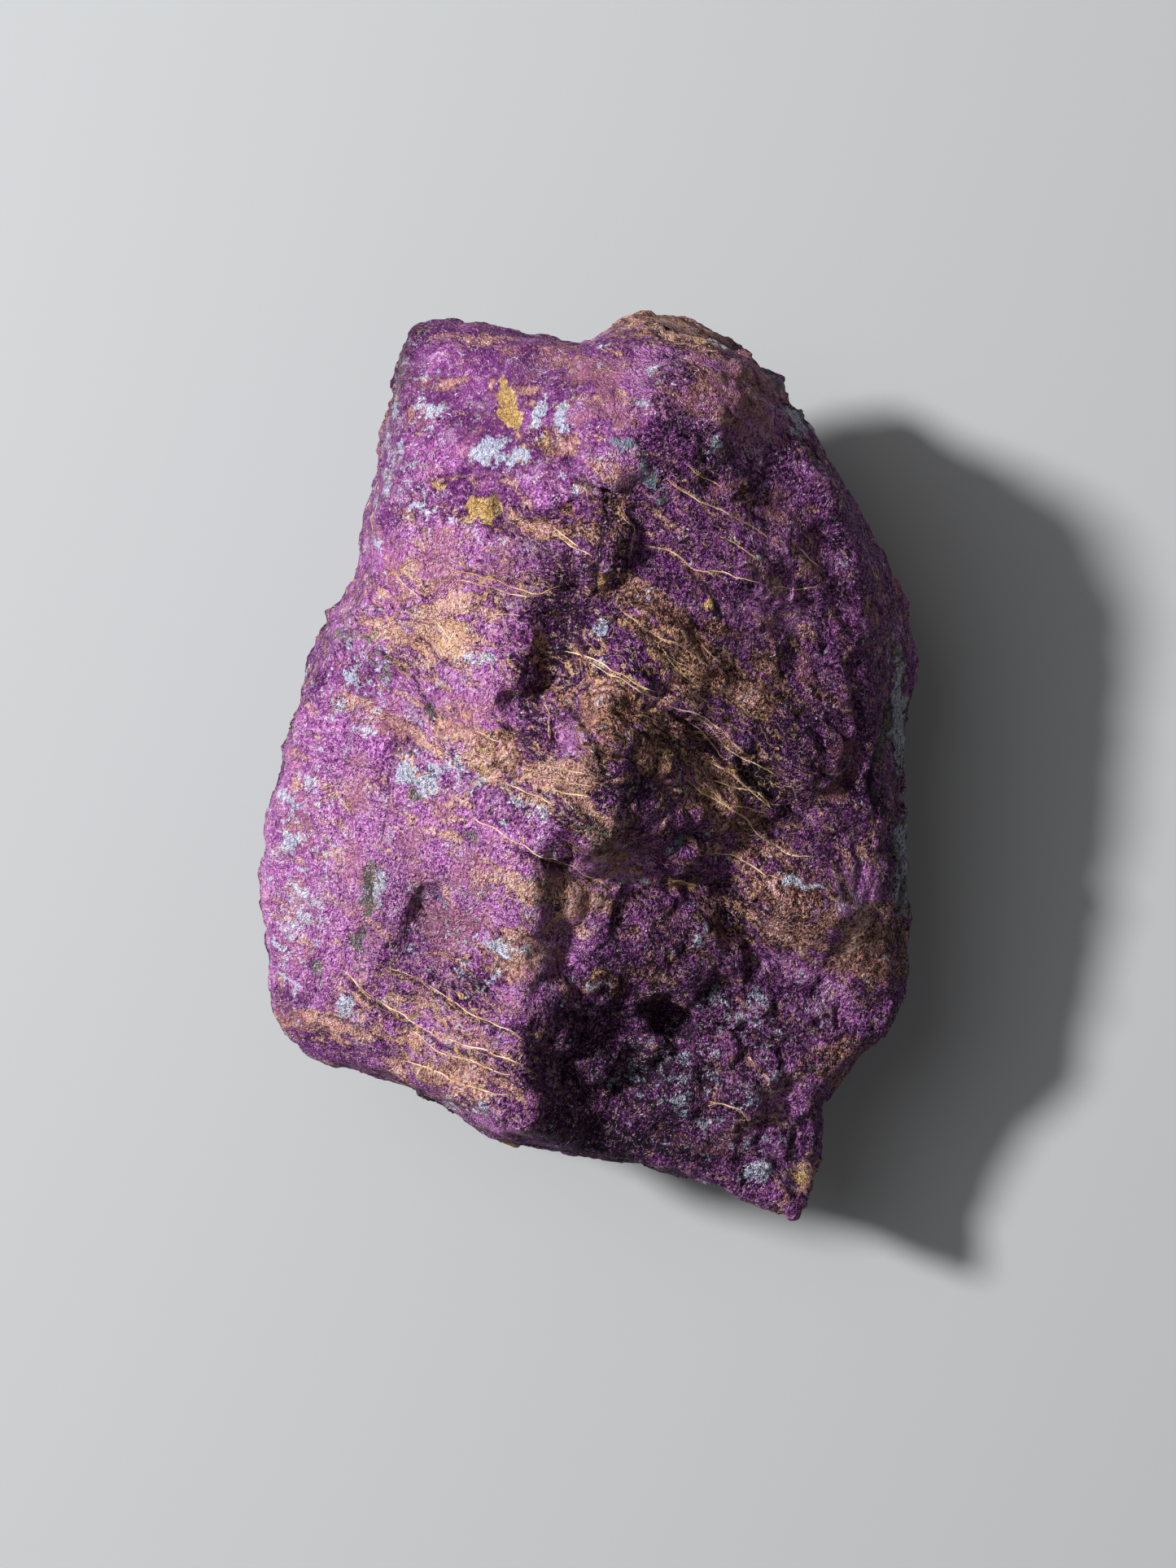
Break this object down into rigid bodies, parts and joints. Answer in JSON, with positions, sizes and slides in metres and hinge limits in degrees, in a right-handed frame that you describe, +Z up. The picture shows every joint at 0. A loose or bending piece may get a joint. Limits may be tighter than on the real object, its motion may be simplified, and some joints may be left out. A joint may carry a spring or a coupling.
{
  "type": "purpurite mineral specimen",
  "caption": "Broken hand-sized lump of purple iron-manganese phosphate rock with a long crest, fibrous brown bands and pits, lying on a natural flat face.",
  "frame": {"origin": "on the flat face the lump rests on, under the middle of its box", "axes": "+Y along the lump towards the end with the saddle, +Z up through the crest, +X towards the dark flank"},
  "size_m": [0.0406, 0.056, 0.0263],
  "materials": {
    "purpurite": "rough velvety broken surface, deep violet with bronze-brown fibrous bands, pale crusts and fine golden veins"
  },
  "bodies": {
    "root": {"purpurite_stone": "purpurite"}
  },
  "joints": []
}
